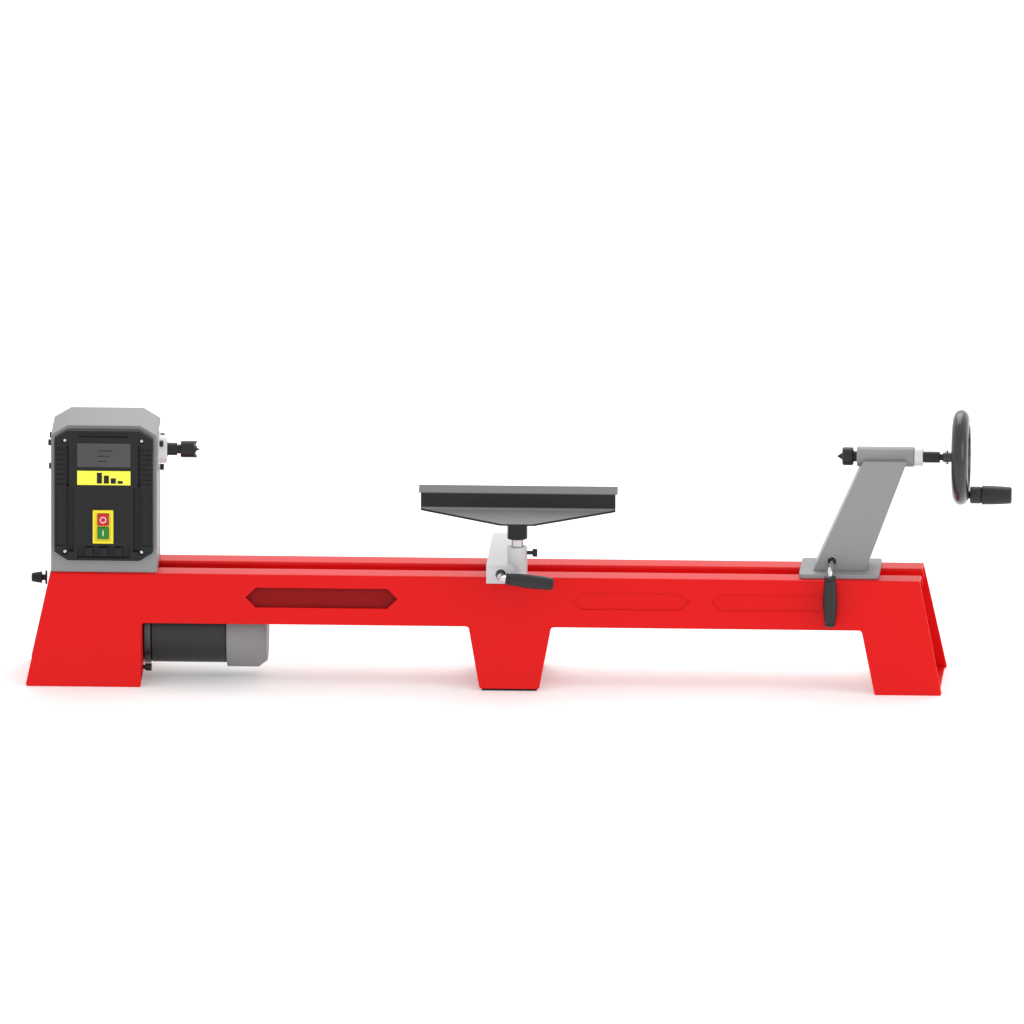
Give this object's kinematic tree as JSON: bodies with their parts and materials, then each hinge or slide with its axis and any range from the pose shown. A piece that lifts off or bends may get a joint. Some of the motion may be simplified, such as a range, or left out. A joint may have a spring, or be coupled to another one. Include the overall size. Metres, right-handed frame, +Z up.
{
  "type": "wood lathe",
  "caption": "Bench-top wood lathe with folded steel bed, belt-driven headstock, swivelling tool rest and sliding tailstock with handwheel.",
  "frame": {"origin": "on the ground under the middle of the centre foot, on the underside of its rubber pad", "axes": "+X along the bed from the headstock to the tailstock, +Y to the back, +Z up"},
  "size_m": [1.4578, 0.2395, 0.4126],
  "materials": {
    "red_paint": "glossy red enamel on folded sheet steel",
    "dark_red_paint": "red paint inside the bed",
    "light_grey_paint": "satin light grey paint on sheet steel",
    "silver_paint": "silver grey paint on the tool rest carrier",
    "tailstock_paint": "grey paint on the tailstock",
    "black_plastic": "moulded black ABS",
    "black_grip": "moulded black nylon grips and handle",
    "black_paint": "black powder coat",
    "dark_grey_paint": "dark grey motor paint",
    "grey_plastic": "grey moulded fan cover",
    "label_grey": "dark grey printed label",
    "label_yellow": "yellow printed label",
    "yellow_plastic": "yellow switch housing",
    "red_plastic": "red stop button",
    "green_plastic": "green start button",
    "rubber": "black rubber",
    "black_steel": "blackened steel",
    "bright_steel": "turned bright steel",
    "chrome": "chromed lever rods",
    "cast_aluminium": "cast aluminium pulleys",
    "bearing_flange": "bright silver bearing flanges",
    "cast_handwheel": "black moulded handwheel"
  },
  "bodies": {
    "frame": {"bed_front_plate": "red_paint", "bed_rear_plate": "red_paint", "left_end_plate": "red_paint", "right_foot_plate": "red_paint", "centre_foot_plate": "red_paint", "centre_foot_pad": "rubber", "window_backing_plate": "dark_red_paint", "cord_gland": "black_plastic", "headstock_housing": "light_grey_paint", "control_panel": "black_plastic", "panel_screw_1": "bright_steel", "panel_screw_2": "bright_steel", "panel_screw_3": "bright_steel", "panel_screw_4": "bright_steel", "info_label": "label_grey", "speed_label": "label_yellow", "switch_frame": "yellow_plastic", "right_bearing_flange": "bearing_flange", "left_bearing_flange": "bearing_flange", "left_flange_bolt_1": "black_steel", "left_flange_bolt_2": "black_steel", "left_flange_bolt_3": "black_steel", "right_flange_bolt_1": "black_steel", "right_flange_bolt_2": "black_steel", "right_flange_bolt_3": "black_steel", "left_bearing": "bright_steel", "right_bearing": "bright_steel", "drive_belt": "rubber"},
    "spindle": {"spindle": "black_steel", "drive_centre": "black_steel", "spindle_pulley": "cast_aluminium"},
    "motor": {"motor_flange": "black_paint", "motor_body": "dark_grey_paint", "motor_fan_cover": "grey_plastic", "motor_mount_plate": "red_paint", "motor_clamp_bolt": "black_steel"},
    "motor_rotor": {"motor_shaft": "bright_steel", "motor_pulley": "cast_aluminium"},
    "stop_button": {"stop_button": "red_plastic"},
    "start_button": {"start_button": "green_plastic"},
    "banjo_slide": {"banjo_clamp_plate": "bright_steel"},
    "banjo_turn": {"banjo_clamp_bolt": "bright_steel"},
    "banjo": {"banjo_bar": "silver_paint"},
    "banjo_lever": {"banjo_lever_rod": "chrome", "banjo_lever_grip": "black_grip"},
    "rest_lock": {"rest_lock_screw": "black_steel"},
    "rest_post": {"tool_rest_stem": "bright_steel"},
    "tool_rest": {"tool_rest": "black_paint"},
    "tailstock": {"tailstock_base": "tailstock_paint", "tailstock_upright": "tailstock_paint", "tailstock_barrel": "tailstock_paint", "tailstock_clamp": "bright_steel"},
    "tail_lever": {"tailstock_lever_rod": "chrome", "tailstock_lever_grip": "black_grip"},
    "quill": {"quill": "bright_steel"},
    "live_centre": {"live_centre": "black_steel"},
    "lock_ring": {"quill_lock_ring": "bearing_flange"},
    "handwheel": {"quill_screw": "black_steel", "handwheel": "cast_handwheel"},
    "crank_handle": {"crank_handle": "black_grip"}
  },
  "joints": [
    {"name": "spindle_spin", "type": "hinge", "parent": "frame", "child": "spindle", "pos_m": [-0.55, 0, 0.342], "axis": [1, 0, 0], "continuous": true},
    {"name": "motor_tension", "type": "slide", "parent": "frame", "child": "motor", "axis": [0, 0, 1], "range_m": [0, 0.012], "deforming": ["drive_belt"]},
    {"name": "motor_spin", "type": "hinge", "parent": "motor", "child": "motor_rotor", "pos_m": [-0.55, 0, 0.0715], "axis": [1, 0, 0], "continuous": true},
    {"name": "stop_button_press", "type": "slide", "parent": "frame", "child": "stop_button", "axis": [0, 1, 0], "range_m": [0, 0.0025], "stiffness_N_per_m": 400},
    {"name": "start_button_press", "type": "slide", "parent": "frame", "child": "start_button", "axis": [0, 1, 0], "range_m": [0, 0.0025], "stiffness_N_per_m": 400},
    {"name": "banjo_travel", "type": "slide", "parent": "frame", "child": "banjo_slide", "axis": [1, 0, 0], "range_m": [-0.3, 0.09]},
    {"name": "banjo_swivel", "type": "hinge", "parent": "banjo_slide", "child": "banjo_turn", "pos_m": [-0.0118, 0, 0.181], "axis": [0, 0, 1], "range_deg": [-15, 15]},
    {"name": "banjo_reach", "type": "slide", "parent": "banjo_turn", "child": "banjo", "axis": [0, 1, 0], "range_m": [-0.03, 0.02]},
    {"name": "banjo_lever_turn", "type": "hinge", "parent": "banjo", "child": "banjo_lever", "pos_m": [-0.0118, 0, 0.181], "axis": [0, 1, 0], "range_deg": [-150, 0]},
    {"name": "rest_lock_turn", "type": "hinge", "parent": "banjo", "child": "rest_lock", "pos_m": [0.035, -0.082, 0.2095], "axis": [1, 0, 0], "range_deg": [-360, 360]},
    {"name": "rest_height", "type": "slide", "parent": "banjo", "child": "rest_post", "axis": [0, 0, 1], "range_m": [-0.01, 0.022]},
    {"name": "rest_swivel", "type": "hinge", "parent": "rest_post", "child": "tool_rest", "pos_m": [0.0118, -0.082, 0.24], "axis": [0, 0, 1], "range_deg": [-60, 60]},
    {"name": "tailstock_travel", "type": "slide", "parent": "frame", "child": "tailstock", "axis": [1, 0, 0], "range_m": [-0.18, 0.06]},
    {"name": "tail_lever_turn", "type": "hinge", "parent": "tailstock", "child": "tail_lever", "pos_m": [0.4758, 0, 0.1887], "axis": [0, 1, 0], "range_deg": [-120, 0]},
    {"name": "handwheel_turn", "type": "hinge", "parent": "tailstock", "child": "handwheel", "pos_m": [0.666, 0, 0.342], "axis": [-1, 0, 0], "range_deg": [0, 7200]},
    {"name": "quill_feed", "type": "slide", "parent": "tailstock", "child": "quill", "axis": [-1, 0, 0], "range_m": [0, 0.0401]},
    {"name": "live_centre_spin", "type": "hinge", "parent": "quill", "child": "live_centre", "pos_m": [0.5, 0, 0.342], "axis": [1, 0, 0], "continuous": true},
    {"name": "lock_ring_turn", "type": "hinge", "parent": "tailstock", "child": "lock_ring", "pos_m": [0.603, 0, 0.342], "axis": [1, 0, 0], "range_deg": [-90, 0]},
    {"name": "crank_handle_spin", "type": "hinge", "parent": "handwheel", "child": "crank_handle", "pos_m": [0.71, 0, 0.285], "axis": [1, 0, 0], "continuous": true}
  ],
  "couplings": [
    {"joint": "spindle_spin", "follows": "motor_spin", "ratio": 1.3043},
    {"joint": "quill_feed", "follows": "handwheel_turn", "m_per_rad": 0.00031831}
  ]
}
